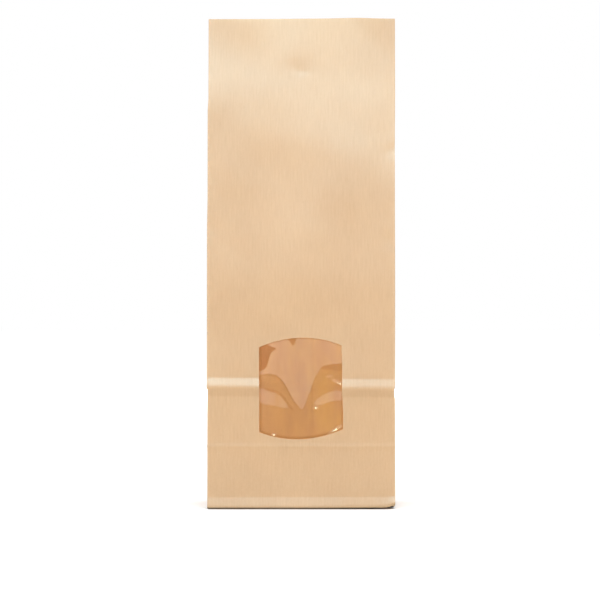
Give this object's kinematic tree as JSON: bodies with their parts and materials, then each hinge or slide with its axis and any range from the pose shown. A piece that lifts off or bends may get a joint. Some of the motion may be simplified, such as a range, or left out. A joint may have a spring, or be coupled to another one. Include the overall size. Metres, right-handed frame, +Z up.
{
  "type": "block bottom bag",
  "caption": "Upright brown paper bag with a flat folded base, pleated side gussets, an open mouth and an arched clear film window.",
  "frame": {"origin": "middle of the base, on the surface that the bag stands on", "axes": "+Z up from the base to the mouth, -Y out of the front panel with the window, +X to the right of that panel"},
  "size_m": [0.1, 0.065, 0.26],
  "materials": {
    "kraft_paper": "ribbed brown kraft paper, matt with a faint satin sheen",
    "clear_film": "thin clear glossy film, slightly wrinkled"
  },
  "bodies": {
    "root": {"paper_bag": "kraft_paper", "window_film": "clear_film"}
  },
  "joints": []
}
